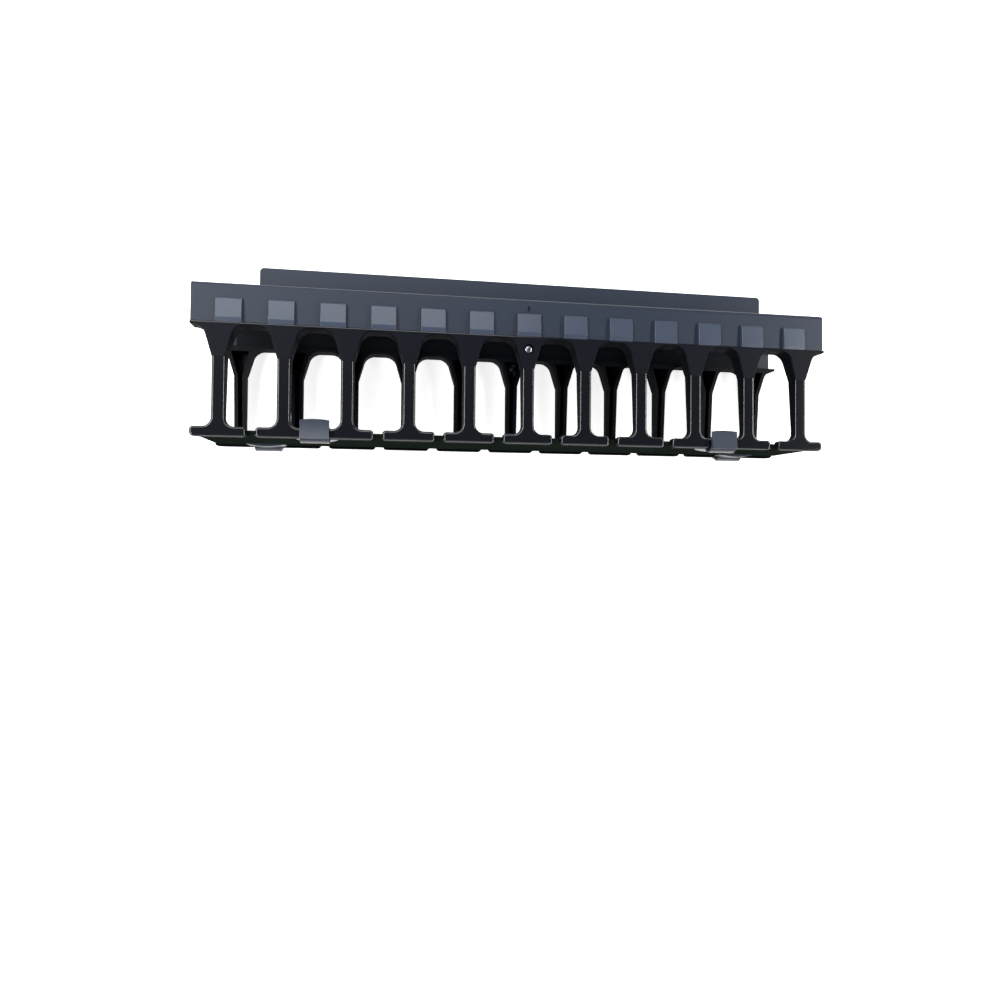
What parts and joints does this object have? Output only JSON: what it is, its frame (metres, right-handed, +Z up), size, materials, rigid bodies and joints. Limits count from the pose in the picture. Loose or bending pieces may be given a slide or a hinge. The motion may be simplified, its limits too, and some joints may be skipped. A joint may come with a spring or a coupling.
{
  "type": "horizontal cable manager",
  "caption": "Two-unit horizontal cable manager for a 19 inch rack, with finger combs above and below a folded pan and a hinged front cover.",
  "frame": {"origin": "middle of the four rack screw slots, on the rear face of the pan", "axes": "+X along the rack's width, -Y out of the rack towards the user, +Z up"},
  "size_m": [0.4826, 0.1314, 0.0932],
  "materials": {
    "powder_coated_steel": "fine matte powder coat",
    "moulded_comb": "glossy moulded",
    "moulded_clip": "glossy moulded",
    "cover_sheet": "satin sheet",
    "zinc_screw": "zinc plated"
  },
  "bodies": {
    "frame": {"back_pan": "powder_coated_steel", "upper_finger_comb": "moulded_comb", "lower_finger_comb": "moulded_comb", "upper_comb_screw": "zinc_screw", "lower_comb_screw": "zinc_screw"},
    "cover": {"front_cover": "cover_sheet", "upper_left_clip": "moulded_clip", "upper_right_clip": "moulded_clip", "lower_left_clip": "moulded_clip", "lower_right_clip": "moulded_clip"}
  },
  "joints": [
    {"name": "cover_hinge", "type": "hinge", "parent": "frame", "child": "cover", "pos_m": [0, -0.10555, 0.0382], "axis": [-1, 0, 0], "range_deg": [0, 180]}
  ]
}
